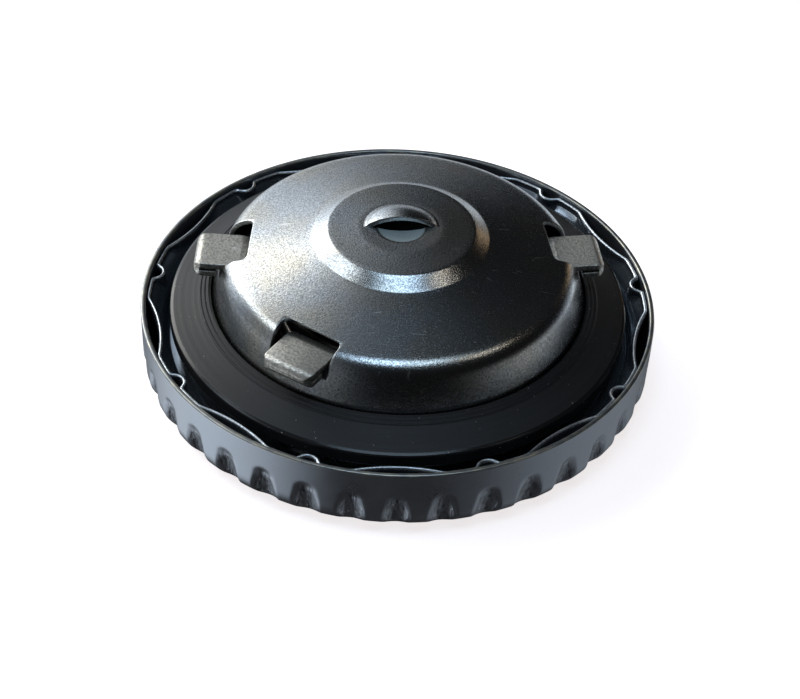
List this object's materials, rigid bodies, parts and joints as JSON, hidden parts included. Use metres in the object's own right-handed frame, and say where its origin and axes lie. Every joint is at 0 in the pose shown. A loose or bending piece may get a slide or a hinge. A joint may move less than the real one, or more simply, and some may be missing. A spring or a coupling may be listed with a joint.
{
  "type": "bayonet filler cap",
  "caption": "Pressed steel bayonet filler cap with grip dents, a sprung vented inner cup, folded locking lugs and a coned rubber gasket, lying underside up.",
  "frame": {"origin": "centre of the cover's flat outer top, on which the cap lies", "axes": "+Z along the cap's axis, out of its open underside; +X to the right and -Y towards the camera of the picture"},
  "size_m": [0.083, 0.083, 0.0302],
  "materials": {
    "satin_cover": "satin black coating on pressed steel",
    "gloss_liner": "gloss black coating",
    "zinc_lugs": "zinc plated, grainy",
    "seal_fibre": "thin sealing sheet",
    "rivet_steel": "plated",
    "spring_steel": "spring wire",
    "seat_steel": "plated",
    "zinc_cup": "zinc plated, grainy, bluish passivation",
    "gasket_rubber": "matt moulded rubber",
    "felt_pad": "dark filter felt",
    "retainer_steel": "plated, perforated"
  },
  "bodies": {
    "cover_body": {"cover": "satin_cover", "liner": "gloss_liner", "lug_plate": "zinc_lugs", "plate_seal": "seal_fibre", "plate_rivets": "rivet_steel", "main_spring": "spring_steel"},
    "seal_body": {"cup": "zinc_cup", "gasket": "gasket_rubber", "spring_seat": "seat_steel", "pad_retainer": "retainer_steel", "breather_pad": "felt_pad"}
  },
  "joints": [
    {"name": "seal_travel", "type": "slide", "parent": "cover_body", "child": "seal_body", "axis": [0, 0, -1], "range_m": [0, 0.0015], "stiffness_N_per_m": 8000, "deforming": ["main_spring"]}
  ]
}
